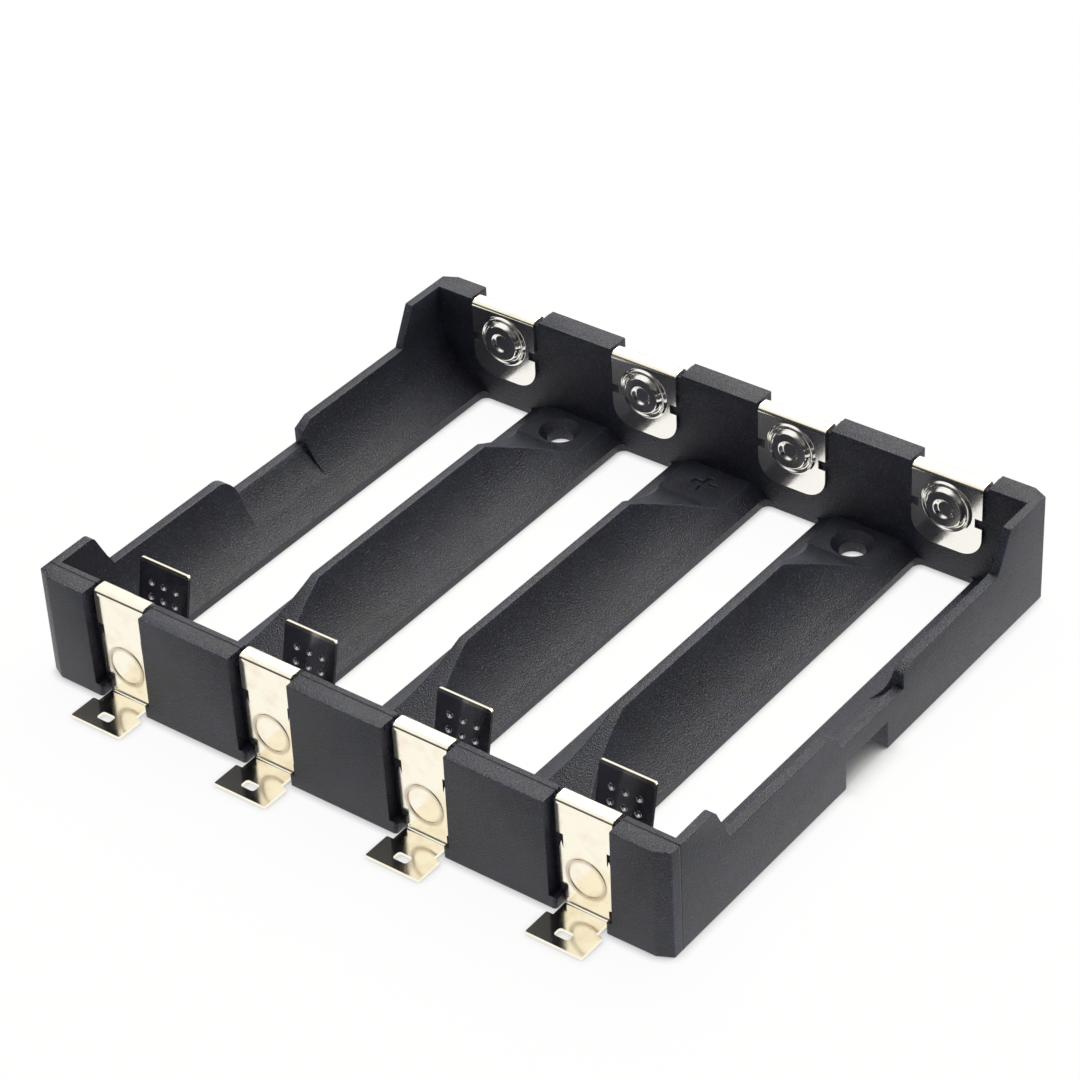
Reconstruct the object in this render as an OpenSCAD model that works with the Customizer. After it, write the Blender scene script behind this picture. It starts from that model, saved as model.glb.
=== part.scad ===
// Surface-mount holder for four cylindrical cells lying side by side.
// X runs across the bays, Y along the cells, Z up. The spring ends face -Y and
// the button ends face +Y. The origin is the middle of the base.

/* [Cells] */
// Number of cells side by side
cell_count = 4; // [2:1:6]
// Diameter of one cell
cell_d = 21; // [19:0.5:24]
// Length of one cell
cell_l = 70; // [60:1:90]
// Play of a cell in its bay, across its diameter
cell_play = 0.4; // [0.2:0.1:1]
// Room for the contacts and their travel, beyond the cell's length
contact_room = 2.2; // [1.6:0.1:6]

/* [Housing] */
// Height of the corners and end walls
body_h = 14.9; // [13:0.1:20]
// Thickness of each end wall
end_t = 3.3; // [2.9:0.1:5]
// Thickness of each side wall beside its cell
side_t = 1.2; // [0.8:0.1:3]
// Thinnest plastic between two cells
web_t = 0.95; // [0.6:0.05:3]
// Height of the bay's lowest line above the base
floor_t = 0.35; // [0.2:0.05:2]
// Width of the open slot in each bay's floor
slot_w = 8.3; // [8:0.1:12]
// Corner radius of the floor slot
slot_r = 1; // [0.5:0.1:2]
// Cut across each upright corner, along X
chamfer_x = 1.9; // [0.5:0.1:3]
// Cut across each upright corner, along Y
chamfer_y = 0.95; // [0.5:0.05:2]

/* [Side walls] */
// Height of the side walls between the corners
wall_h = 9.6; // [8.8:0.1:11]
// Length of each full-height corner
corner_l = 8.9; // [6:0.1:12]
// Length of the slope from a corner down to the side wall
corner_slope = 2.7; // [1:0.1:5]
// Rounding of the spring end's corner
corner_r = 1; // [0.2:0.1:1.5]
// Height of the finger notch's floor
notch_h = 6.6; // [5.5:0.1:7.4]
// Start of the finger notch, towards the spring end
notch_front = 6; // [4:0.1:12]
// End of the finger notch, towards the button end
notch_back = 7.2; // [4:0.1:12]
// Height of the notch's upright step at the button end
notch_step = 2; // [0.5:0.1:2.2]
// Length of the slope above that step
notch_slope = 2.1; // [0.5:0.1:4]
// Shift of the relief inside the notch, outwards
relief_out = 1.5; // [0.5:0.1:1.5]
// Shift of the relief inside the notch, upwards
relief_up = 1.1; // [0.8:0.1:2]
// Width of the opening under each side wall
foot_gap_w = 8.6; // [4:0.1:14]
// Height of the opening under each side wall
foot_gap_h = 3.9; // [1:0.1:4.5]
// Depth of the opening under each side wall
foot_gap_d = 5.4; // [2:0.1:6]
// Middle of that opening along Y
foot_gap_y = -0.4; // [-4:0.1:4]

/* [Dividers] */
// Height of the dividers' straight top
ridge_h = 9.5; // [8:0.1:9.6]
// Length of the dividers' straight top
ridge_l = 32.4; // [20:0.1:44]
// Height of the low pads at both ends of each divider
pad_h = 2.5; // [2:0.1:3.5]
// Length of each low pad
pad_l = 6.7; // [6.5:0.1:9]
// Width of the coring groove under each divider
core_w = 8.6; // [4:0.1:9]
// Height of the coring groove
core_h = 3.8; // [1:0.1:4]
// Length of the coring groove
core_l = 40; // [10:1:48]
// Plastic left between a bay and what is cored below it
skin_t = 1.2; // [0.8:0.1:2]

/* [Screw holes] */
// Diameter of the two screw holes
screw_d = 3.4; // [2.4:0.1:4.4]
// Diameter of their countersinks
screw_head_d = 5.5; // [4.5:0.1:6]
// Distance of the screw holes from the end wall's inner face
screw_inset = 3.8; // [3.4:0.1:5]

/* [Polarity sign] */
// Width of the sunk plus sign at the button end
plus_w = 3.6; // [2:0.1:5]
// Length of the plus sign
plus_l = 3; // [2:0.1:5]
// Width of its strokes
plus_line = 0.8; // [0.4:0.1:1.5]
// Depth of its strokes
plus_d = 0.3; // [0.1:0.05:0.6]
// Distance of its middle from the end wall's inner face
plus_inset = 3.4; // [2.8:0.1:5]

/* [Contact channels] */
// Depth of the channels in the end walls' outer faces
channel_d = 1.8; // [1:0.1:2.2]
// Width of the spring channels at the top
spring_channel_w = 8.7; // [8.3:0.1:10]
// Width of the button channels at the top
button_channel_w = 10.8; // [10.5:0.1:12]
// Narrowing of each channel towards the base, on each side
channel_draft = 0.1; // [0:0.05:0.3]
// Height of the lugs at the foot of each channel
lug_h = 1.65; // [1.2:0.05:4]
// Rounding of the lugs
lug_r = 0.4; // [0.2:0.1:0.6]

/* [Contact strips] */
// Thickness of the sheet
sheet_t = 0.4; // [0.3:0.05:0.5]
// Play between the sheet and the wall that it folds over
seat_gap = 0.05; // [0.02:0.01:0.1]
// Inside radius of the folds over the wall
fold_r = 0.35; // [0.25:0.05:0.5]
// Inside radius of the fold at the foot
foot_r = 0.4; // [0.3:0.05:0.6]
// Width of the strip between the lugs
neck_w = 5.8; // [4:0.1:6.2]
// Play of that neck between the lugs, on each side, and above them
neck_play = 0.45; // [0.1:0.05:0.6]
// Width of the solder tabs
tab_w = 7.6; // [6:0.1:9]
// Length of the solder tabs' wide part
tab_l = 3.9; // [3:0.1:6]
// Reach of the solder tabs beyond the end wall
tab_reach = 5; // [4.5:0.1:8]
// Rounding of the solder tabs' corners
tab_r = 0.2; // [0.1:0.1:1]
// Width of the hole in each solder tab
tab_hole_w = 2; // [1:0.1:3]
// Length of the hole in each solder tab
tab_hole_l = 1.3; // [0.8:0.1:2]
// Rounding of that hole
tab_hole_r = 0.4; // [0.1:0.1:0.4]
// Height of the tips of the barbs on the strips' edges
barb_z = 9.1; // [7:0.1:10]
// Length of each barb, and of the notch above it
barb_l = 1; // [0.5:0.1:1.5]
// Depth of that notch
barb_cut = 0.9; // [0.6:0.05:1.2]

/* [Spring contacts] */
// Width of the spring strip and its leaf
spring_w = 7.6; // [6:0.1:7.8]
// Width taken off each edge of the strip below its barbs
spring_taper = 0.3; // [0.1:0.05:0.4]
// Lowest point of the loop inside the housing
loop_z = 1.6; // [1.2:0.1:3]
// Inside radius of that loop
loop_r = 1.7; // [1:0.1:2.2]
// Lean of the free leaf towards the cell
leaf_lean = 12; // [4:1:16]
// Drop of the leaf's top edge below the top of the housing
leaf_drop = 0.3; // [0:0.1:2]
// Rounding of the leaf's top corners
leaf_r = 0.3; // [0.2:0.1:2]
// Distance between the leaf's dimples
dimple_pitch = 1.88; // [1.5:0.02:2.2]
// Height of the upper row of dimples
dimple_z = 11.85; // [10:0.05:12.5]
// Radius of each dimple where it leaves the leaf
dimple_r = 0.62; // [0.5:0.02:0.7]
// Height of each dimple above the leaf
dimple_h = 0.35; // [0.2:0.05:0.4]
// Sheet left at the side of each dimple
dimple_wall = 0.12; // [0.05:0.01:0.2]
// Middle height of the pressed ring on the strip's face
mark_z = 5; // [4.8:0.1:6]
// Radius of that ring
mark_r = 2.5; // [1.5:0.1:2.8]
// Width of the ring's raised line
mark_line = 0.3; // [0.2:0.05:0.5]
// Height of the ring's raised line
mark_rise = 0.1; // [0.05:0.01:0.15]

/* [Button contacts] */
// Width of the button contact
button_w = 9.9; // [8:0.1:10.2]
// Height of the plate's lower edge
plate_z = 4.4; // [3:0.1:6]
// Rounding of the plate's lower corners
plate_r = 3; // [1:0.1:4]
// Height of the plate's side notches
plate_notch_z = 9.55; // [8:0.05:11]
// Size of the side notches along Z
plate_notch_h = 1.3; // [0.6:0.1:2]
// Depth of the side notches
plate_notch_d = 1; // [0.4:0.1:1.1]
// Middle height of the pressed button
button_z = 10.4; // [9:0.1:10.6]
// Outer radius of the pressed button
button_r = 3.6; // [3:0.1:3.7]
// Height of the ring round the button
button_ring_h = 0.3; // [0.1:0.05:0.5]
// Height of the button's face
button_h = 0.75; // [0.5:0.05:1.2]
// Radius of the dimple in the button's face
button_dimple_r = 1.5; // [0.8:0.05:1.75]
// Depth of that dimple
button_dimple_d = 0.35; // [0.1:0.05:0.5]

/* [Hidden] */
housing_colour = "#2c2c31";
metal_colour = "#d9cfb6";
$fn = 64;
// Number of chords in a rounded outline corner, and rings in one step of the pressed button
corner_steps = 8;
press_steps = 6;
// Overlap of cutting shapes past the faces that they cut
over = 1;
// Place of a barb's tip across its notch, as a share of the notch's depth
barb_tip = 0.7;
// The leaf starts inside the loop's end, and is smaller than it by this on each face and edge
leaf_lap = 0.12;
leaf_thinning = 0.01;

bay_r = (cell_d + cell_play) / 2;
pitch = 2 * bay_r + web_t;
axis_z = bay_r + floor_t;
inner_l = cell_l + contact_room;
half_inner = inner_l / 2;
half_l = half_inner + end_t;
outer_bay = (cell_count - 1) / 2 * pitch;
half_w = outer_bay + bay_r + side_t;
crown = max(body_h, axis_z) + over;
ridge_half = ridge_l / 2;
shoulder_r = wall_h - notch_h;
neck_gap = neck_w / 2 + neck_play;
// The folds' tops are level with the corners
crest_h = body_h - sheet_t - seat_gap;
leaf_top = body_h - leaf_drop;
// Faces of the folded strip, measured from the middle of the holder along +Y at the spring end
strip_face = -half_l + channel_d - seat_gap - sheet_t;
inside_face = -half_inner + seat_gap;
fold_z = crest_h + seat_gap - fold_r;
loop_top = loop_z + loop_r + sheet_t;
loop_y = inside_face + sheet_t + loop_r;
leaf_w = spring_w - 2 * leaf_thinning;
strip_start = -half_l - tab_reach;

function bay_x(i) = (i - (cell_count + 1) / 2) * pitch;
function divider_x(i) = (i - cell_count / 2) * pitch;
function unit(v) = v / norm(v);
// Arc that rounds the corner b of the outline a, b, c
function rounded(a, b, c, r) =
    let (
        u = unit(a - b),
        v = unit(c - b),
        half_angle = acos(u * v) / 2,
        centre = b + unit(u + v) * r / sin(half_angle),
        from = b + u * r / tan(half_angle) - centre,
        to = b + v * r / tan(half_angle) - centre,
        start = atan2(from[1], from[0]),
        turn = atan2(from[0] * to[1] - from[1] * to[0], from * to)
    )
    [for (k = [0:corner_steps])
        centre + r * [cos(start + turn * k / corner_steps), sin(start + turn * k / corner_steps)]];
function ease(u) = (1 - cos(180 * u)) / 2;

// Extrudes a side view, drawn as (Y, Z), between two places along X
module along_x(from, to) {
    translate([from, 0, 0])
        rotate([90, 0, 90])
            linear_extrude(to - from)
                children();
}

// Extrudes a front view, drawn as (X, Z), between two places along Y
module along_y(from, to) {
    translate([0, to, 0])
        rotate([90, 0, 0])
            linear_extrude(to - from)
                children();
}

module both_sides() {
    children();
    mirror([1, 0, 0])
        children();
}

module both_ends() {
    children();
    mirror([0, 1, 0])
        children();
}

module rounded_rect(w, l, r) {
    square([w, l - 2 * r], center = true);
    square([w - 2 * r, l], center = true);
    for (x = [-1, 1], y = [-1, 1])
        translate([x * (w / 2 - r), y * (l / 2 - r)])
            circle(r);
}

// Housing: the walls and dividers before anything is cut from them
module plan_outline() {
    x = half_w;
    y = half_l;
    polygon([
        [-x, -y + chamfer_y], [-x + chamfer_x, -y], [x - chamfer_x, -y], [x, -y + chamfer_y],
        [x, y - chamfer_y], [x - chamfer_x, y], [-x + chamfer_x, y], [-x, y - chamfer_y]
    ]);
}

module side_profile() {
    corner = half_l - corner_l;
    foot = corner - corner_slope;
    polygon(concat(
        [[-half_l, 0], [-half_l, body_h]],
        rounded([-half_l, body_h], [-corner, body_h], [-foot, wall_h], corner_r),
        [[-foot, wall_h]],
        [for (k = [corner_steps:-1:0])
            [-notch_front - shoulder_r, notch_h]
            + shoulder_r * [cos(90 * k / corner_steps), sin(90 * k / corner_steps)]],
        [
            [notch_back, notch_h], [notch_back, notch_h + notch_step],
            [notch_back + notch_slope, wall_h], [foot, wall_h],
            [corner, body_h], [half_l, body_h], [half_l, 0]
        ]
    ));
}

module divider_profile() {
    ramp_end = half_inner - pad_l;
    polygon([
        [-half_l, 0], [-half_l, pad_h], [-ramp_end, pad_h], [-ridge_half, ridge_h],
        [ridge_half, ridge_h], [ramp_end, pad_h], [half_l, pad_h], [half_l, 0]
    ]);
}

module walls() {
    intersection() {
        linear_extrude(body_h)
            plan_outline();
        union() {
            both_sides()
                along_x(outer_bay, half_w)
                    side_profile();
            along_x(-outer_bay, outer_bay)
                divider_profile();
            both_ends()
                translate([-half_w, -half_l, 0])
                    cube([2 * half_w, end_t, body_h]);
        }
    }
}

module bay() {
    along_y(-half_inner, half_inner) {
        translate([0, axis_z])
            circle(bay_r);
        translate([-bay_r, axis_z])
            square([2 * bay_r, crown - axis_z]);
    }
    translate([0, 0, -over])
        linear_extrude(axis_z + over)
            rounded_rect(slot_w, inner_l, slot_r);
}

// The notch's wall is hollowed by the bay's own radius, moved outwards and up
module finger_relief() {
    along_y(-notch_front, notch_back)
        intersection() {
            translate([outer_bay + relief_out, axis_z + relief_up])
                circle(bay_r);
            translate([outer_bay, 0])
                square([half_w - outer_bay - side_t, notch_h + over]);
        }
}

module foot_gap() {
    along_y(foot_gap_y - foot_gap_w / 2, foot_gap_y + foot_gap_w / 2)
        difference() {
            translate([half_w - foot_gap_d, -over])
                square([foot_gap_d + over, foot_gap_h + over]);
            translate([outer_bay, axis_z])
                circle(bay_r + skin_t);
        }
}

module coring_groove() {
    along_y(-core_l / 2, core_l / 2)
        difference() {
            translate([-core_w / 2, -over])
                square([core_w, core_h + over]);
            for (side = [-1, 1])
                translate([side * pitch / 2, axis_z])
                    circle(bay_r + skin_t);
        }
}

module screw_hole() {
    sink = (screw_head_d - screw_d) / 2;
    translate([0, half_inner - screw_inset, 0]) {
        translate([0, 0, -over])
            cylinder(d = screw_d, h = pad_h + 2 * over);
        translate([0, 0, pad_h - sink])
            cylinder(d1 = screw_d, d2 = screw_head_d, h = sink);
        translate([0, 0, pad_h])
            cylinder(d = screw_head_d, h = crown - pad_h);
    }
}

// Plus sign sunk in a divider's pad at the button end
module plus_sign() {
    translate([0, half_inner - plus_inset, pad_h - plus_d])
        linear_extrude(plus_d + over) {
            square([plus_w, plus_line], center = true);
            square([plus_line, plus_l], center = true);
        }
}

// Channel in the outer face of the end wall at -Y, open at the top and at the base
module channel(w) {
    foot_w = w - 2 * channel_draft;
    along_y(-half_l - over, -half_l + channel_d)
        polygon([
            [-foot_w / 2, -over], [foot_w / 2, -over],
            [w / 2, body_h + over], [-w / 2, body_h + over]
        ]);
}

// Notch over that channel, which leaves a wall with a rounded crest
module crest_notch(w) {
    crest_from = -half_l + channel_d;
    crest_to = -half_inner;
    along_x(-w / 2, w / 2)
        difference() {
            translate([crest_from - over, crest_h - fold_r])
                square([crest_to - crest_from + 2 * over, body_h - crest_h + fold_r + over]);
            translate([crest_from, crest_h - 2 * fold_r])
                square([crest_to - crest_from, fold_r]);
            translate([crest_from + fold_r, crest_h - 2 * fold_r])
                square([crest_to - crest_from - 2 * fold_r, 2 * fold_r]);
            for (y = [crest_from + fold_r, crest_to - fold_r])
                translate([y, crest_h - fold_r])
                    circle(fold_r);
        }
}

// Lug that narrows the channel at its foot, on its +X side
module lug(w) {
    intersection() {
        translate([0, -half_l, 0])
            linear_extrude(lug_h) {
                translate([neck_gap, lug_r])
                    square([w / 2 - neck_gap, channel_d - lug_r]);
                translate([neck_gap + lug_r, 0])
                    square([w / 2 - neck_gap - lug_r, channel_d]);
                translate([neck_gap + lug_r, lug_r])
                    circle(lug_r);
            }
        along_y(-half_l, -half_l + channel_d) {
            translate([neck_gap, 0])
                square([w / 2 - neck_gap, lug_h - lug_r]);
            translate([neck_gap + lug_r, 0])
                square([w / 2 - neck_gap - lug_r, lug_h]);
            translate([neck_gap + lug_r, lug_h - lug_r])
                circle(lug_r);
        }
    }
}

module lugs(w) {
    both_sides()
        lug(w);
}

module housing() {
    color(housing_colour) {
        difference() {
            walls();
            for (i = [1:cell_count])
                translate([bay_x(i), 0, 0]) {
                    bay();
                    channel(spring_channel_w);
                    crest_notch(spring_channel_w);
                    mirror([0, 1, 0]) {
                        channel(button_channel_w);
                        crest_notch(button_channel_w);
                    }
                }
            for (i = [1:cell_count - 1])
                translate([divider_x(i), 0, 0])
                    coring_groove();
            for (i = [1:2:cell_count - 1])
                translate([divider_x(i), 0, 0])
                    screw_hole();
            for (i = [2:2:cell_count - 1])
                translate([divider_x(i), 0, 0])
                    plus_sign();
            both_sides() {
                finger_relief();
                foot_gap();
            }
        }
        for (i = [1:cell_count])
            translate([bay_x(i), 0, 0]) {
                lugs(spring_channel_w);
                mirror([0, 1, 0])
                    lugs(button_channel_w);
            }
    }
}

// Contacts: each is one strip, folded over its end wall. All are drawn at the
// spring end, and the button contacts are mirrored to the other end
module bend(radius, turn) {
    reach = radius + sheet_t + over;
    intersection() {
        difference() {
            circle(radius + sheet_t);
            circle(radius);
        }
        translate([0, -reach])
            square([reach, 2 * reach]);
        rotate(turn)
            translate([-reach, -reach])
                square([reach, 2 * reach]);
    }
}

// Side view of a folded strip. Each step is [straight length, turn, inside radius],
// and a positive turn is to the left
module folded(steps, i = 0) {
    length = steps[i][0];
    turn = steps[i][1];
    pivot = turn > 0 ? sheet_t + steps[i][2] : -steps[i][2];
    square([length, sheet_t]);
    if (turn != 0)
        translate([length, pivot]) {
            bend(steps[i][2], turn);
            if (i + 1 < len(steps))
                rotate(turn)
                    translate([0, -pivot])
                        folded(steps, i + 1);
        }
}

// Steps from the end of the solder tab to the top of the inside leg
function outer_steps() = [
    [strip_face - foot_r - strip_start, 90, foot_r],
    [fold_z - sheet_t - foot_r, -90, fold_r],
    [inside_face - strip_face - sheet_t - 2 * fold_r, -90, fold_r]
];

module strip(w, steps) {
    along_x(-w / 2, w / 2)
        translate([strip_start, 0])
            folded(steps);
}

// What is cut from the +X edge of the strip outside the wall: the notch round
// the barb, the taper below it and the neck between the lugs
module edge_cuts(w, taper) {
    edge = w / 2;
    low_edge = edge - taper;
    shoulder = lug_h + neck_play;
    shoulder_drop = neck_play / 2;
    along_y(strip_face - over, strip_face + sheet_t + seat_gap)
        polygon([
            [neck_w / 2, -over], [neck_w / 2, shoulder - shoulder_drop], [low_edge, shoulder],
            [low_edge, barb_z - barb_l], [edge - barb_tip * barb_cut, barb_z],
            [edge - barb_cut, barb_z - barb_l], [edge - barb_cut, barb_z + barb_l],
            [edge + over, barb_z + barb_l], [edge + over, -over]
        ]);
}

// What is cut away round the solder tab, and its hole
module tab_cuts(w) {
    tab_end = strip_start + tab_l;
    difference() {
        translate([-w / 2 - over, strip_start - over, -over])
            cube([w + 2 * over, strip_face + over - strip_start, 2 * over]);
        translate([0, strip_start + tab_l / 2, -2 * over])
            linear_extrude(4 * over)
                rounded_rect(tab_w, tab_l, tab_r);
        translate([-neck_w / 2, tab_end - tab_l / 2, -2 * over])
            cube([neck_w, strip_face + 2 * over - tab_end + tab_l / 2, 4 * over]);
    }
    translate([0, strip_start + tab_l / 2, -over])
        linear_extrude(2 * over)
            rounded_rect(tab_hole_w, tab_hole_l, tab_hole_r);
}

// Places its children on the leaf: X across it, Y up along it and Z towards the cell,
// with the origin where the leaf leaves the loop
module on_leaf() {
    translate([0, loop_y, loop_top])
        rotate([-leaf_lean, 0, 0])
            translate([0, loop_r + sheet_t, 0])
                rotate([90, 0, 180])
                    children();
}

module leaf_corner_cut(w, length) {
    translate([0, 0, -sheet_t - over])
        linear_extrude(sheet_t + 2 * over)
            difference() {
                translate([w / 2 - leaf_r, length - leaf_r])
                    square(leaf_r + over);
                translate([w / 2 - leaf_r, length - leaf_r])
                    circle(leaf_r);
            }
}

module at_dimples() {
    across = [-1, 0, 1];
    for (column = across, row = [0, 1])
        translate([
            column * dimple_pitch,
            (dimple_z - loop_top + (loop_r + sheet_t) * sin(leaf_lean)) / cos(leaf_lean)
                - row * dimple_pitch,
            0
        ])
            children();
}

// Rounded peg with a flat tip, as high as asked, whose foot goes below its base
module peg(r, h, foot) {
    rotate_extrude()
        polygon(concat(
            [[0, -foot], [r, -foot]],
            [for (a = [0:15:75]) [r * cos(a), h * sin(a)]],
            [[0, h * sin(75)]]
        ));
}

module pressed_ring() {
    translate([0, strip_face, mark_z])
        rotate([90, 0, 0])
            rotate_extrude()
                translate([mark_r - mark_line / 2, -sheet_t / 2])
                    square([mark_line, sheet_t / 2 + mark_rise]);
}

module spring_contact(i) {
    leaf_l = (leaf_top - loop_top + (loop_r + sheet_t) * sin(leaf_lean)) / cos(leaf_lean);
    color(metal_colour)
        translate([bay_x(i), 0, 0]) {
            difference() {
                union() {
                    strip(spring_w, concat(outer_steps(), [
                        [fold_z - loop_top, 180 - leaf_lean, loop_r]
                    ]));
                    on_leaf()
                        translate([-leaf_w / 2, -leaf_lap, leaf_thinning - sheet_t])
                            cube([leaf_w, leaf_l + leaf_lap, sheet_t - 2 * leaf_thinning]);
                    on_leaf()
                        at_dimples()
                            peg(dimple_r, dimple_h, sheet_t / 2);
                }
                both_sides() {
                    edge_cuts(spring_w, spring_taper);
                    on_leaf()
                        leaf_corner_cut(leaf_w, leaf_l);
                }
                tab_cuts(spring_w);
                on_leaf()
                    at_dimples()
                        translate([0, 0, -sheet_t])
                            peg(dimple_r - dimple_wall, dimple_h, over);
            }
            pressed_ring();
        }
}

// Heights of the pressed button from its middle out, as [radius, height] stations
function button_stations() = [
    [0, button_h - button_dimple_d], [button_dimple_r * 0.6, button_h - button_dimple_d],
    [button_dimple_r, button_h], [button_r * 0.66, button_h],
    [button_r * 0.82, button_ring_h / 4], [button_r * 0.92, button_ring_h],
    [button_r, 0]
];

function button_curve() =
    let (s = button_stations())
    [for (j = [0:len(s) - 2], k = [0:press_steps - 1])
        [
            s[j][0] + (s[j + 1][0] - s[j][0]) * k / press_steps,
            s[j][1] + (s[j + 1][1] - s[j][1]) * ease(k / press_steps)
        ]];

// Button pressed out of the plate towards the cell
module pressed_button() {
    face = concat(button_curve(), [[button_r, 0]]);
    back = [for (k = [len(face) - 1:-1:0]) face[k] - [0, sheet_t]];
    translate([0, inside_face + sheet_t, button_z])
        rotate([-90, 0, 0])
            rotate_extrude()
                polygon(concat(face, back));
}

module plate_cuts() {
    edge = button_w / 2;
    from = inside_face - seat_gap;
    to = inside_face + sheet_t + over;
    both_sides()
        along_y(from, to) {
            difference() {
                translate([edge - plate_r, plate_z - over])
                    square([plate_r + over, plate_r + over]);
                translate([edge - plate_r, plate_z + plate_r])
                    circle(plate_r);
            }
            translate([edge - plate_notch_d, plate_notch_z - plate_notch_h / 2])
                square([plate_notch_d + over, plate_notch_h]);
        }
    along_y(from, to)
        translate([0, button_z])
            circle(button_r);
}

module button_contact(i) {
    color(metal_colour)
        translate([bay_x(i), 0, 0])
            mirror([0, 1, 0]) {
                difference() {
                    strip(button_w, concat(outer_steps(), [[fold_z - plate_z, 0, 0]]));
                    both_sides()
                        edge_cuts(button_w, spring_taper);
                    tab_cuts(button_w);
                    plate_cuts();
                }
                pressed_button();
            }
}

housing();
for (i = [1:cell_count]) {
    spring_contact(i);
    button_contact(i);
}
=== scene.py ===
import math
import bpy
import bmesh
from mathutils import Matrix, Vector


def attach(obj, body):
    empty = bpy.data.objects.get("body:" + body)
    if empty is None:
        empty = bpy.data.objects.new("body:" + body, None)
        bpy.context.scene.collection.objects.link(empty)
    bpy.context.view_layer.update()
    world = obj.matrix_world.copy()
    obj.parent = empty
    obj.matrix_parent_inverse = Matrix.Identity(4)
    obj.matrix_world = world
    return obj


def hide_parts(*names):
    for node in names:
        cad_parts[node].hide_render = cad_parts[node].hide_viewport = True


bl_info = {
    "name": "Cell holder",
    "version": (1, 0, 0),
    "blender": (4, 5, 0),
    "location": "3D View > Sidebar > Cell holder",
    "description": "Dresses the packed cell holder and sets up its studio",
    "category": "Object",
}

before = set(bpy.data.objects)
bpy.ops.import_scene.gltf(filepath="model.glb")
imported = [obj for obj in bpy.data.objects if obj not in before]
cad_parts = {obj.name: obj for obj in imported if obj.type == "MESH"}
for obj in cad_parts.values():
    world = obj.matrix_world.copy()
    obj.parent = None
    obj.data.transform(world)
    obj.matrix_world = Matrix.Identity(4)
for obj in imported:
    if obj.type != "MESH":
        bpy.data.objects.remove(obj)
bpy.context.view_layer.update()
SPRING_CONTACTS = sorted(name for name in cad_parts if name.startswith("spring_contact"))
BUTTON_CONTACTS = sorted(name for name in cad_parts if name.startswith("button_contact"))

# Places on the holder, in metres from the middle of its base

BAY_PITCH = 0.02235
# Ring pressed into the outer leg of each spring contact, measured to the middle of its slope
RING_HEIGHT = 0.005
RING_RADIUS = 0.0025
# The outer legs lie beyond the first distance, and what hangs in the bays lies within the second
OUTER_LEG_Y = 0.0375
INSIDE_Y = 0.0366
# What hangs in the bays ends below this height, where the strips fold over the wall
INSIDE_TOP = 0.0142
# Line between the mould's two halves, across the spring end
PARTING_Y = -0.0370
# Floor under the opening of each side wall, where a shadow lies
OPENING_INNER_X = 0.0392
OPENING_OUTER_X = 0.0450
OPENING_MIDDLE_Y = -0.0004
OPENING_HALF_WIDTH = 0.0043

# Room that the reflections see. Each patch has a direction, and the cosines of the angles
# from it at which the patch starts and is full

DARK_PATCHES = (
    ((0.655, 0.680, 0.330), 0.86, 0.96),
    ((0.505, -0.630, 0.590), 0.72, 0.93),
)
BRIGHT_WINDOW = ((-0.510, 0.815, 0.276), 0.90, 0.975)

WHITE = (1.0, 1.0, 1.0, 1.0)
SPECK_COLOUR = (0.13, 0.13, 0.14, 1.0)
LINE_COLOUR = (0.002, 0.002, 0.003, 1.0)


# Sizes and colours that a user would change

class HousingSettings(bpy.types.PropertyGroup):
    """Edges and plastic of the moulded housing"""

    edge_radius: bpy.props.FloatProperty(
        name="Edge radius", description="Rounding of the moulding's edges",
        default=0.00014, min=0.0, max=0.0003, precision=5, unit="LENGTH")
    colour: bpy.props.FloatVectorProperty(
        name="Plastic colour", description="Colour of the moulded plastic",
        default=(0.0095, 0.0114, 0.0250), min=0.0, max=1.0, subtype="COLOR")
    # Paler plastic on the rounded edges is a painted highlight along the rims
    edge_highlight_paleness: bpy.props.FloatProperty(
        name="Edge paleness", description="How many times paler the rubbed edges are",
        default=2.2, min=1.0, max=5.0)


class ContactSettings(bpy.types.PropertyGroup):
    """Finish of the contact strips, with the colours of their painted shade on the ring and in the
    bays
    """

    colour: bpy.props.FloatVectorProperty(
        name="Plating colour", description="Colour of the bright plating",
        default=(0.99, 0.935, 0.79), min=0.0, max=1.0, subtype="COLOR")
    stain_colour: bpy.props.FloatVectorProperty(
        name="Stain colour", description="Colour of the plating where it is faintly stained",
        default=(0.92, 0.80, 0.62), min=0.0, max=1.0, subtype="COLOR")
    # Painted shade: the ring's slopes are darkened towards this brown
    ring_shade_colour: bpy.props.FloatVectorProperty(
        name="Ring colour", description="Colour of the plating on the pressed ring's slopes",
        default=(0.62, 0.47, 0.33), min=0.0, max=1.0, subtype="COLOR")
    # Painted shade: the springs in the bays are darkened towards this grey
    inner_shade_colour: bpy.props.FloatVectorProperty(
        name="Inner colour", description="Colour of the spring contacts' duller plating in the bays",
        default=(0.50, 0.49, 0.52), min=0.0, max=1.0, subtype="COLOR")
    plate_colour: bpy.props.FloatVectorProperty(
        name="Plate colour", description="Colour of the plating on the button plates",
        default=(0.95, 0.92, 0.86), min=0.0, max=1.0, subtype="COLOR")
    roughness: bpy.props.FloatProperty(
        name="Plating roughness", description="Blur of the plating's reflections",
        default=0.13, min=0.02, max=0.6, subtype="FACTOR")


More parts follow.
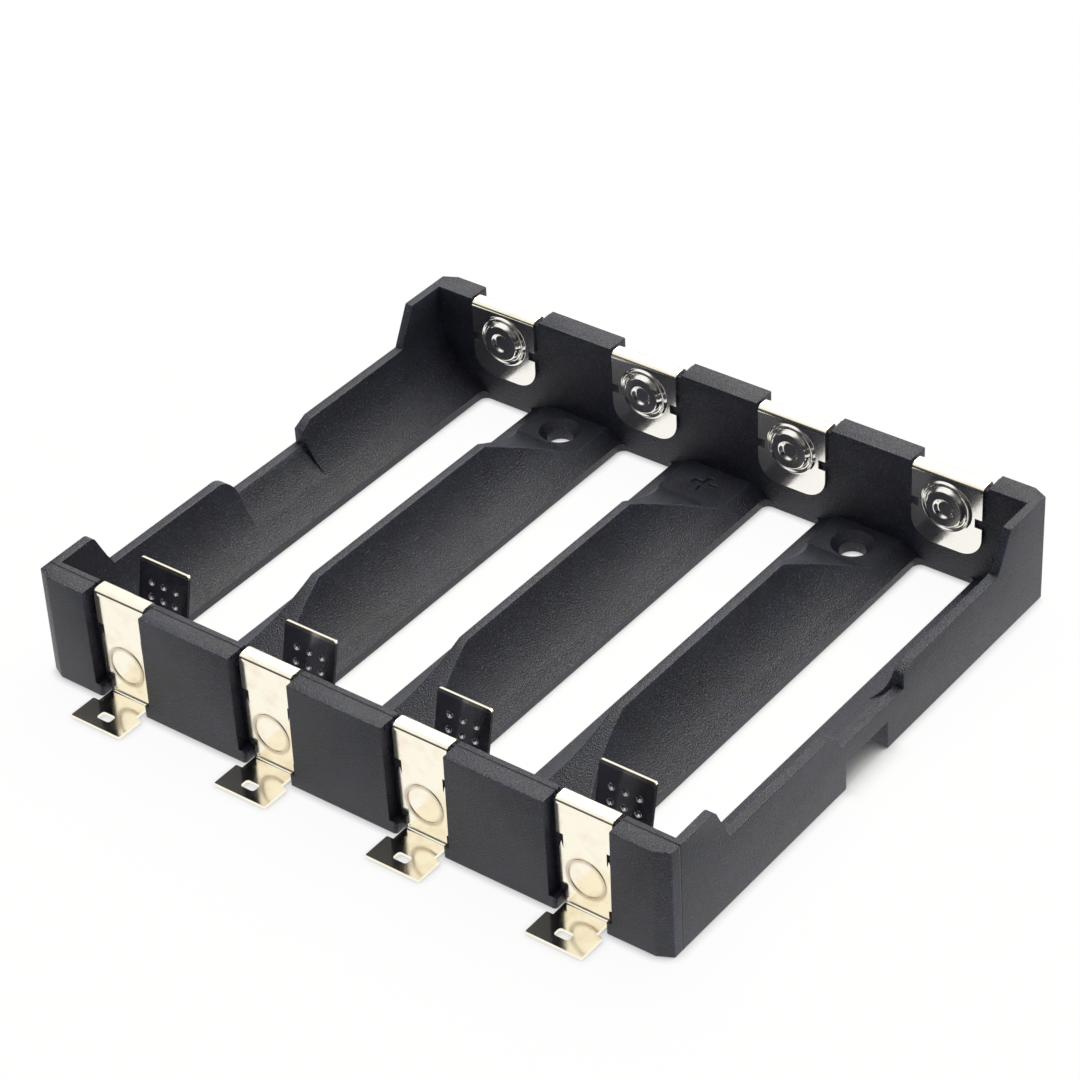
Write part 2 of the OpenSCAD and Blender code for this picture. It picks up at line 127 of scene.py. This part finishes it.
class StudioSettings(bpy.types.PropertyGroup):
    """Camera, floor and lights"""

    camera_azimuth: bpy.props.FloatProperty(
        name="Camera azimuth", description="Turn of the camera from the spring end towards +X",
        default=math.radians(38.69), subtype="ANGLE")
    camera_elevation: bpy.props.FloatProperty(
        name="Camera elevation", description="Height of the camera as an angle",
        default=math.radians(36.13), subtype="ANGLE")
    camera_roll: bpy.props.FloatProperty(
        name="Camera roll", description="Turn of the camera about its own axis",
        default=math.radians(3.15), subtype="ANGLE")
    camera_distance: bpy.props.FloatProperty(
        name="Camera distance", description="Distance of the camera from the middle of the base",
        default=0.4292, min=0.2, max=2.0, unit="LENGTH")
    camera_lens: bpy.props.FloatProperty(
        name="Camera lens", description="Focal length of the camera",
        default=118.77, min=20.0, max=300.0, unit="CAMERA")
    floor_colour: bpy.props.FloatVectorProperty(
        name="Floor colour", description="Colour of the floor", default=(0.82, 0.82, 0.82),
        min=0.0, max=1.0, subtype="COLOR")
    overhead_power: bpy.props.FloatProperty(
        name="Overhead power", description="Power of the large lamp above and behind the holder",
        default=10.5, min=0.0, max=100.0, unit="POWER")
    side_power: bpy.props.FloatProperty(
        name="Side power", description="Power of the small lamp behind the holder's right side",
        default=0.6, min=0.0, max=100.0, unit="POWER")


# Node trees

def feed(tree, socket, value):
    """Link an output to the socket, or set a number or a colour on it."""
    if isinstance(value, bpy.types.NodeSocket):
        tree.links.new(value, socket)
    else:
        socket.default_value = value


def add_node(tree, kind, inputs=None, **settings):
    """New node with its settings, and with its inputs fed by name."""
    node = tree.nodes.new(kind)
    for name, value in settings.items():
        setattr(node, name, value)
    for name, value in (inputs or {}).items():
        feed(tree, node.inputs[name], value)
    return node


def add_ordered_node(tree, kind, *values, **settings):
    """New node with its settings, and with its inputs fed in their order."""
    node = add_node(tree, kind, **settings)
    for socket, value in zip(node.inputs, values):
        feed(tree, socket, value)
    return node


def calculate(tree, operation, *values):
    """Result of a sum, a product or a comparison."""
    return add_ordered_node(tree, "ShaderNodeMath", *values, operation=operation).outputs["Value"]


def ramp(tree, value, start, end, interpolation="LINEAR"):
    """Level that changes while the value goes from start to end, each a pair of value and level."""
    node = add_node(
        tree, "ShaderNodeMapRange",
        {"Value": value, "From Min": start[0], "From Max": end[0],
         "To Min": start[1], "To Max": end[1]},
        clamp=True, interpolation_type=interpolation)
    return node.outputs["Result"]


def mix(tree, kind, share, first, second):
    """Blend of two numbers (FLOAT) or colours (RGBA), where a share of 1 is the second."""
    inputs = {"Factor": share, "A": first, "B": second}
    return add_node(tree, "ShaderNodeMix", inputs, data_type=kind).outputs["Result"]


def mix_shaders(tree, share, first, second):
    """Blend of two shaders, where a share of 1 is the second."""
    return add_ordered_node(tree, "ShaderNodeMixShader", share, first, second).outputs["Shader"]


def noise(tree, place, scale, detail, roughness):
    """Cloudy pattern in space."""
    inputs = {"Vector": place, "Scale": scale, "Detail": detail, "Roughness": roughness}
    return add_node(tree, "ShaderNodeTexNoise", inputs, noise_dimensions="3D").outputs["Fac"]


def open_share(tree, distance):
    """Share of the directions above a place that nothing within the distance blocks."""
    inputs = {"Distance": distance}
    return add_node(tree, "ShaderNodeAmbientOcclusion", inputs, samples=5).outputs["AO"]


def object_place(tree):
    """Place on the piece in its own coordinates."""
    return add_node(tree, "ShaderNodeTexCoord").outputs["Object"]


def split(tree, vector):
    """The three parts of a vector."""
    parts = add_node(tree, "ShaderNodeSeparateXYZ", {"Vector": vector}).outputs
    return parts["X"], parts["Y"], parts["Z"]


def length_of(tree, vector):
    """Length of a vector."""
    return add_ordered_node(
        tree, "ShaderNodeVectorMath", vector, operation="LENGTH").outputs["Value"]


def nearness(tree, direction, target):
    """Cosine of the angle between two directions."""
    return add_ordered_node(
        tree, "ShaderNodeVectorMath", direction, target, operation="DOT_PRODUCT").outputs["Value"]


def opaque(colour, times=1.0):
    """Colour as a socket holds it, with each of its parts multiplied."""
    return [part * times for part in colour] + [1.0]


# Node groups: masks and patterns over a surface

def new_group(name, numbers, masks):
    """Empty node group that takes in numbers with their defaults, and puts out masks."""
    tree = bpy.data.node_groups.new(name, "ShaderNodeTree")
    for label, default in numbers.items():
        socket = tree.interface.new_socket(
            name=label, in_out="INPUT", socket_type="NodeSocketFloat")
        socket.default_value = default
    for label in masks:
        tree.interface.new_socket(name=label, in_out="OUTPUT", socket_type="NodeSocketFloat")
    given = tree.nodes.new("NodeGroupInput").outputs
    results = tree.nodes.new("NodeGroupOutput").inputs
    return tree, given, results


def place_group(tree, name, build, numbers=None):
    """Outputs of a node group in a material. The group is built before its first use."""
    if name not in bpy.data.node_groups:
        build(name)
    node = tree.nodes.new("ShaderNodeGroup")
    node.node_tree = bpy.data.node_groups[name]
    for label, value in (numbers or {}).items():
        node.inputs[label].default_value = value
    return node.outputs


def build_fine_speckle(name):
    """Fine grain, the sparse specks at its peaks, and slow clouding."""
    tree, given, results = new_group(
        name,
        {"Grain Scale": 4000.0, "Cloud Scale": 120.0, "Detail": 3.0},
        ("Grain", "Specks", "Clouds"))
    place = object_place(tree)
    grain = noise(tree, place, given["Grain Scale"], given["Detail"], roughness=0.6)
    clouds = noise(tree, place, given["Cloud Scale"], detail=4.0, roughness=0.55)
    feed(tree, results["Grain"], grain)
    feed(tree, results["Specks"], ramp(tree, grain, (0.60, 0.0), (0.72, 1.0)))
    feed(tree, results["Clouds"], clouds)


def build_parting_line(name):
    """Thin wandering line that the mould's two halves leave across the spring end."""
    drift = 0.00008
    tree, given, results = new_group(name, {"Place": PARTING_Y, "Width": 0.00014}, ("Line",))
    place = object_place(tree)
    _, y, _ = split(tree, place)
    wander = noise(tree, place, scale=300.0, detail=2.0, roughness=0.5)
    moved = calculate(tree, "ADD", y, calculate(tree, "MULTIPLY_ADD", wander, 2 * drift, -drift))
    apart = calculate(tree, "ABSOLUTE", calculate(tree, "SUBTRACT", moved, given["Place"]))
    feed(tree, results["Line"], ramp(tree, apart, (0.0, 1.0), (given["Width"], 0.0)))


def build_strip_regions(name):
    """Regions of the strips: the pressed ring's slopes, the springs in the bays, the button plates."""
    full_slope = 0.0001
    no_slope = 0.0005
    tree, given, results = new_group(
        name,
        {"Pitch": BAY_PITCH, "Ring Height": RING_HEIGHT, "Ring Radius": RING_RADIUS},
        ("Ring", "Inside", "Plate"))
    x, y, z = split(tree, object_place(tree))
    # Place on the outer leg from the ring's middle, the same in every bay
    wrapped = calculate(tree, "WRAP", x, given["Pitch"], 0.0)
    across = calculate(tree, "SUBTRACT", wrapped, calculate(tree, "MULTIPLY", given["Pitch"], 0.5))
    upward = calculate(tree, "SUBTRACT", z, given["Ring Height"])
    flat = add_node(tree, "ShaderNodeCombineXYZ", {"X": across, "Y": upward}).outputs["Vector"]
    offset = calculate(tree, "SUBTRACT", length_of(tree, flat), given["Ring Radius"])
    apart = calculate(tree, "ABSOLUTE", offset)
    slope = ramp(tree, apart, (full_slope, 1.0), (no_slope, 0.0))
    outer_leg = calculate(tree, "LESS_THAN", y, -OUTER_LEG_Y)
    feed(tree, results["Ring"], calculate(tree, "MULTIPLY", slope, outer_leg))
    within = calculate(tree, "LESS_THAN", calculate(tree, "ABSOLUTE", y), INSIDE_Y)
    hanging = calculate(tree, "MULTIPLY", within, calculate(tree, "LESS_THAN", z, INSIDE_TOP))
    spring_end = calculate(tree, "LESS_THAN", y, 0.0)
    button_end = calculate(tree, "GREATER_THAN", y, 0.0)
    feed(tree, results["Inside"], calculate(tree, "MULTIPLY", hanging, spring_end))
    feed(tree, results["Plate"], calculate(tree, "MULTIPLY", hanging, button_end))


# Materials

def new_material(name):
    """Material with an empty node tree, and the socket that its shader feeds."""
    material = bpy.data.materials.new(name)
    material.use_nodes = True
    material.node_tree.nodes.clear()
    output = add_node(material.node_tree, "ShaderNodeOutputMaterial")
    return material, material.node_tree, output.inputs["Surface"]


def plastic_material(name, colour, smoothest, roughest):
    """Mottled plastic with pale specks, the parting line, and a grain in its gloss and relief."""
    if name in bpy.data.materials:
        return bpy.data.materials[name]
    line_relief = -0.9
    material, tree, output = new_material(name)
    speckle = place_group(
        tree, "fine_speckle", build_fine_speckle,
        {"Grain Scale": 5200.0, "Cloud Scale": 300.0, "Detail": 2.0})
    line = place_group(tree, "parting_line", build_parting_line)["Line"]
    uneven = calculate(tree, "ADD", speckle["Clouds"], speckle["Grain"])
    mottle = ramp(tree, uneven, (0.75, 0.0), (1.25, 1.0))
    mottled = mix(tree, "RGBA", mottle, opaque(colour, 0.5), opaque(colour, 1.5))
    specked = mix(tree, "RGBA", speckle["Specks"], mottled, SPECK_COLOUR)
    lined = mix(tree, "RGBA", line, specked, LINE_COLOUR)
    rough = ramp(tree, speckle["Grain"], (0.3, smoothest), (0.7, roughest))
    relief = calculate(tree, "MULTIPLY_ADD", line, line_relief, speckle["Grain"])
    bump = add_node(
        tree, "ShaderNodeBump", {"Strength": 1.0, "Distance": 0.00016, "Height": relief})
    surface = add_node(
        tree, "ShaderNodeBsdfPrincipled",
        {"Base Color": lined, "Roughness": rough, "Metallic": 0.0, "IOR": 1.5,
         "Normal": bump.outputs["Normal"]})
    feed(tree, output, surface.outputs["BSDF"])
    return material


def plating_material(settings):
    """Bright plating, faintly stained, with a warm painted shade and a blur on the ring's slopes, and
    painted shade on the springs in the bays.
    """
    name = "bright_plating"
    if name in bpy.data.materials:
        return bpy.data.materials[name]
    ring_shade_share = 0.40
    ring_blur = 0.30
    smoothest = settings.roughness * 0.7
    roughest = settings.roughness * 1.3
    material, tree, output = new_material(name)
    speckle = place_group(
        tree, "fine_speckle", build_fine_speckle,
        {"Grain Scale": 2500.0, "Cloud Scale": 420.0, "Detail": 3.0})
    regions = place_group(tree, "strip_regions", build_strip_regions)
    stain = ramp(tree, speckle["Clouds"], (0.50, 0.0), (0.74, 0.7))
    stained = mix(tree, "RGBA", stain, opaque(settings.colour), opaque(settings.stain_colour))
    # Painted shade on the ring's slopes, in a brown share of the plating
    shade_on_ring = calculate(tree, "MULTIPLY", regions["Ring"], ring_shade_share)
    colour_with_ring_shade = mix(tree, "RGBA", shade_on_ring, stained, opaque(settings.ring_shade_colour))
    # Painted shade on the springs in the bays, where their plating is darkened
    colour_with_inner_shade = mix(tree, "RGBA", regions["Inside"], colour_with_ring_shade, opaque(settings.inner_shade_colour))
    plated = mix(tree, "RGBA", regions["Plate"], colour_with_inner_shade, opaque(settings.plate_colour))
    rough = ramp(tree, speckle["Clouds"], (0.3, smoothest), (0.7, roughest))
    blurred = calculate(tree, "MULTIPLY_ADD", regions["Ring"], ring_blur, rough)
    bump = add_node(
        tree, "ShaderNodeBump",
        {"Strength": 0.12, "Distance": 0.00003, "Height": speckle["Grain"]})
    surface = add_node(
        tree, "ShaderNodeBsdfPrincipled",
        {"Base Color": plated, "Roughness": blurred, "Metallic": 1.0,
         "Normal": bump.outputs["Normal"]})
    feed(tree, output, surface.outputs["BSDF"])
    return material


def wear(piece, material):
    """Give the piece this material alone."""
    piece.data.materials.clear()
    piece.data.materials.append(material)


# Mesh work

def deselect_everything():
    if bpy.context.object and bpy.context.object.mode != "OBJECT":
        bpy.ops.object.mode_set(mode="OBJECT")
    bpy.ops.object.select_all(action="DESELECT")


def make_active(piece):
    deselect_everything()
    piece.select_set(True)
    bpy.context.view_layer.objects.active = piece


def merged_copy(node_name, piece_name):
    """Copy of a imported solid, its loose triangles merged and its flat faces whole."""
    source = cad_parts[node_name]
    piece = bpy.data.objects.new(piece_name, source.data.copy())
    bpy.context.scene.collection.objects.link(piece)
    make_active(piece)
    if piece.data.has_custom_normals:
        bpy.ops.mesh.customdata_custom_splitnormals_clear()
    bpy.ops.object.mode_set(mode="EDIT")
    bpy.ops.mesh.select_all(action="SELECT")
    bpy.ops.mesh.remove_doubles(threshold=0.000002)
    bpy.ops.mesh.dissolve_limited(angle_limit=math.radians(0.5))
    bpy.ops.object.mode_set(mode="OBJECT")
    return piece


def mark_outer_edges(piece):
    """Weight the outward edges for the bevel, apart from the shortest and the bluntest."""
    shortest = 0.0006
    bluntest = math.radians(30)
    mesh = bmesh.new()
    mesh.from_mesh(piece.data)
    weight = mesh.edges.layers.float.new("bevel_weight_edge")
    for edge in mesh.edges:
        if not edge.is_manifold or edge.calc_length() < shortest:
            continue
        if edge.calc_face_angle_signed() > bluntest:
            edge[weight] = 1.0
    mesh.to_mesh(piece.data)
    mesh.free()


def round_marked_edges(piece, radius, material):
    """Bevel the weighted edges, and give the new faces a material of their own."""
    piece.data.materials.append(material)
    make_active(piece)
    bevel = piece.modifiers.new("Edges", "BEVEL")
    bevel.width = radius
    bevel.segments = 2
    bevel.material = piece.data.materials.find(material.name)
    bevel.limit_method = "WEIGHT"
    bevel.use_clamp_overlap = False
    bpy.ops.object.modifier_apply(modifier=bevel.name)
    bpy.ops.object.shade_smooth_by_angle(angle=math.radians(35))


# Pieces

class HOLDER_OT_mould_housing(bpy.types.Operator):
    """Give the housing its rounded edges and its plastic, with a painted highlight on the edges"""

    bl_idname = "holder.mould_housing"
    bl_label = "Housing"

    def execute(self, context):
        settings = context.scene.holder_housing
        highlight_edge_colour = [part * settings.edge_highlight_paleness for part in settings.colour]
        piece = merged_copy("housing", "moulded_housing")
        mark_outer_edges(piece)
        wear(piece, plastic_material(
            "moulded_plastic", settings.colour, smoothest=0.28, roughest=0.49))
        # The rounded edges get a paler plastic, a painted highlight along the rims
        round_marked_edges(piece, settings.edge_radius, plastic_material(
            "rubbed_plastic_edge", highlight_edge_colour, smoothest=0.26, roughest=0.42))
        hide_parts("housing")
        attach(piece, "root")
        return {"FINISHED"}


class HOLDER_OT_plate_contacts(bpy.types.Operator):
    """Give the spring and button contacts their bright plating"""

    bl_idname = "holder.plate_contacts"
    bl_label = "Contacts"

    def execute(self, context):
        plating = plating_material(context.scene.holder_contacts)
        for name in SPRING_CONTACTS + BUTTON_CONTACTS:
            wear(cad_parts[name], plating)
        return {"FINISHED"}


# Stage

def light_in_openings(tree, place):
    """Share of light on the floor: less under the openings of the side walls, and 1 elsewhere."""
    outer_fade = 0.0030
    end_fade = 0.0017
    roof_reach = 0.008
    x, y, _ = split(tree, place)
    sideways = calculate(tree, "ABSOLUTE", x)
    lengthwise = calculate(tree, "ABSOLUTE", calculate(tree, "SUBTRACT", y, OPENING_MIDDLE_Y))
    past_inner = calculate(tree, "GREATER_THAN", sideways, OPENING_INNER_X)
    before_outer = ramp(
        tree, sideways, (OPENING_OUTER_X, 1.0), (OPENING_OUTER_X + outer_fade, 0.0))
    between_ends = ramp(
        tree, lengthwise, (OPENING_HALF_WIDTH, 1.0), (OPENING_HALF_WIDTH + end_fade, 0.0))
    across = calculate(tree, "MULTIPLY", past_inner, before_outer)
    in_opening = calculate(tree, "MULTIPLY", across, between_ends)
    dimmed = ramp(tree, open_share(tree, roof_reach), (0.30, 0.0), (0.95, 1.0))
    return mix(tree, "FLOAT", in_opening, 1.0, dimmed)


def white_share(tree):
    """Share of plain white in the floor: to the camera all over, to reflections near the holder."""
    lit_table = 0.16
    lit_table_end = 0.36
    contact_reach = 0.0012
    whitest = 0.95
    path = add_node(tree, "ShaderNodeLightPath").outputs
    place = object_place(tree)
    near = ramp(
        tree, length_of(tree, place), (lit_table, 1.0), (lit_table_end, 0.0), "SMOOTHSTEP")
    reflected = calculate(tree, "MULTIPLY", near, path["Is Glossy Ray"])
    light = calculate(
        tree, "MULTIPLY", open_share(tree, contact_reach), light_in_openings(tree, place))
    looked_at = calculate(tree, "MAXIMUM", path["Is Camera Ray"], path["Is Transmission Ray"])
    seen = calculate(tree, "MULTIPLY", calculate(tree, "MULTIPLY", looked_at, light), whitest)
    return calculate(tree, "MAXIMUM", seen, reflected)


def floor_material(colour):
    """Pale floor that looks white from above, and is clear to the camera from below."""
    material, tree, output = new_material("pale_floor")
    matt = add_node(tree, "ShaderNodeBsdfDiffuse", {"Color": opaque(colour)})
    white = add_node(tree, "ShaderNodeEmission", {"Color": WHITE, "Strength": 1.0})
    above = mix_shaders(tree, white_share(tree), matt.outputs["BSDF"], white.outputs["Emission"])
    clear = add_node(tree, "ShaderNodeBsdfTransparent")
    facing = add_node(tree, "ShaderNodeNewGeometry").outputs
    path = add_node(tree, "ShaderNodeLightPath").outputs
    from_below = calculate(tree, "MULTIPLY", facing["Backfacing"], path["Is Camera Ray"])
    feed(tree, output, mix_shaders(tree, from_below, above, clear.outputs["BSDF"]))
    return material


def lay_floor(colour):
    """Lay the floor just under the base, so that the two don't share a plane."""
    width = 6.0
    drop = 0.00002
    deselect_everything()
    bpy.ops.mesh.primitive_plane_add(size=width, location=(0.0, 0.0, -drop))
    floor = bpy.context.object
    floor.name = "floor"
    bpy.ops.object.transform_apply(location=True, rotation=True, scale=True)
    wear(floor, floor_material(colour))


def room_brightness(tree):
    """Pale room, dark near the horizon and in two patches, with a window behind the left side."""
    direction = add_node(tree, "ShaderNodeTexCoord").outputs["Generated"]
    _, _, height = split(tree, direction)
    room = ramp(tree, height, (0.30, 0.05), (0.60, 1.0), "SMOOTHSTEP")
    for middle, start, full in DARK_PATCHES:
        close = nearness(tree, direction, middle)
        patch = ramp(tree, close, (start, 1.0), (full, 0.1), "SMOOTHSTEP")
        room = calculate(tree, "MULTIPLY", room, patch)
    middle, start, full = BRIGHT_WINDOW
    close = nearness(tree, direction, middle)
    window = ramp(tree, close, (start, 0.0), (full, 1.0), "SMOOTHSTEP")
    return calculate(tree, "MAXIMUM", room, window)


def light_world():
    """White to the camera, the room to reflections, and an even soft light to all else."""
    soft_light = 0.40
    world = bpy.data.worlds.new("studio_world")
    bpy.context.scene.world = world
    world.use_nodes = True
    tree = world.node_tree
    tree.nodes.clear()
    path = add_node(tree, "ShaderNodeLightPath").outputs
    reflected = mix(tree, "FLOAT", path["Is Glossy Ray"], soft_light, room_brightness(tree))
    seen = calculate(tree, "MAXIMUM", path["Is Camera Ray"], path["Is Transmission Ray"])
    level = calculate(tree, "MAXIMUM", reflected, seen)
    background = add_node(tree, "ShaderNodeBackground", {"Color": WHITE, "Strength": level})
    add_node(tree, "ShaderNodeOutputWorld", {"Surface": background.outputs["Background"]})


def hang_soft_box(name, place, size, power, colour):
    """Hang a square lamp turned to the middle of the base."""
    data = bpy.data.lights.new(name, "AREA")
    data.shape = "SQUARE"
    data.size = size
    data.energy = power
    data.color = colour
    lamp = bpy.data.objects.new(name, data)
    bpy.context.scene.collection.objects.link(lamp)
    lamp.location = place
    lamp.rotation_euler = (-Vector(place)).to_track_quat("-Z", "Y").to_euler()


def place_camera(settings):
    """Place the camera at the settings' angles and distance."""
    # The picture's centre is a little left of and above the middle of the base
    centre_right = -0.00121
    centre_down = -0.01109
    azimuth = settings.camera_azimuth
    elevation = settings.camera_elevation
    roll = settings.camera_roll
    forward = -Vector((math.sin(azimuth) * math.cos(elevation),
                       -math.cos(azimuth) * math.cos(elevation),
                       math.sin(elevation)))
    level_right = Vector((math.cos(azimuth), math.sin(azimuth), 0.0))
    level_down = forward.cross(level_right)
    right = math.cos(roll) * level_right + math.sin(roll) * level_down
    down = -math.sin(roll) * level_right + math.cos(roll) * level_down
    place = centre_right * right + centre_down * down - settings.camera_distance * forward
    data = bpy.data.cameras.new("camera")
    data.sensor_width = 36.0
    data.lens = settings.camera_lens
    data.clip_start = 0.01
    data.clip_end = 20.0
    camera = bpy.data.objects.new("camera", data)
    bpy.context.scene.collection.objects.link(camera)
    turn = Matrix((right, -down, -forward)).transposed()
    camera.matrix_world = Matrix.Translation(place) @ turn.to_4x4()
    bpy.context.scene.camera = camera


class HOLDER_OT_set_studio(bpy.types.Operator):
    """Lay the floor, hang the lights and place the camera"""

    bl_idname = "holder.set_studio"
    bl_label = "Studio"

    def execute(self, context):
        settings = context.scene.holder_studio
        lay_floor(settings.floor_colour)
        light_world()
        hang_soft_box("overhead_light", place=(-0.10, 0.45, 0.75), size=0.9,
                      power=settings.overhead_power, colour=(1.0, 0.975, 0.86))
        hang_soft_box("side_light", place=(0.60, 0.55, 0.12), size=0.3,
                      power=settings.side_power, colour=(1.0, 0.97, 0.92))
        place_camera(settings)
        context.scene.view_settings.view_transform = "Standard"
        return {"FINISHED"}


class HOLDER_PT_panel(bpy.types.Panel):
    """Lists the holder's pieces in the sidebar"""

    bl_idname = "HOLDER_PT_panel"
    bl_label = "Cell holder"
    bl_space_type = "VIEW_3D"
    bl_region_type = "UI"
    bl_category = "Cell holder"

    def draw(self, context):
        scene = context.scene
        for title, settings, operator in (
            ("Housing", scene.holder_housing, HOLDER_OT_mould_housing),
            ("Contacts", scene.holder_contacts, HOLDER_OT_plate_contacts),
            ("Studio", scene.holder_studio, HOLDER_OT_set_studio),
        ):
            box = self.layout.box()
            box.label(text=title)
            for name in settings.__annotations__:
                box.prop(settings, name)
            box.operator(operator.bl_idname)


CLASSES = (
    HousingSettings,
    ContactSettings,
    StudioSettings,
    HOLDER_OT_mould_housing,
    HOLDER_OT_plate_contacts,
    HOLDER_OT_set_studio,
    HOLDER_PT_panel,
)


def register():
    for item in CLASSES:
        bpy.utils.register_class(item)
    bpy.types.Scene.holder_housing = bpy.props.PointerProperty(type=HousingSettings)
    bpy.types.Scene.holder_contacts = bpy.props.PointerProperty(type=ContactSettings)
    bpy.types.Scene.holder_studio = bpy.props.PointerProperty(type=StudioSettings)


def unregister():
    del bpy.types.Scene.holder_studio
    del bpy.types.Scene.holder_contacts
    del bpy.types.Scene.holder_housing
    for item in reversed(CLASSES):
        bpy.utils.unregister_class(item)


def main():
    register()
    bpy.ops.holder.set_studio()
    bpy.ops.holder.mould_housing()
    bpy.ops.holder.plate_contacts()


if __name__ == "__main__":
    main()
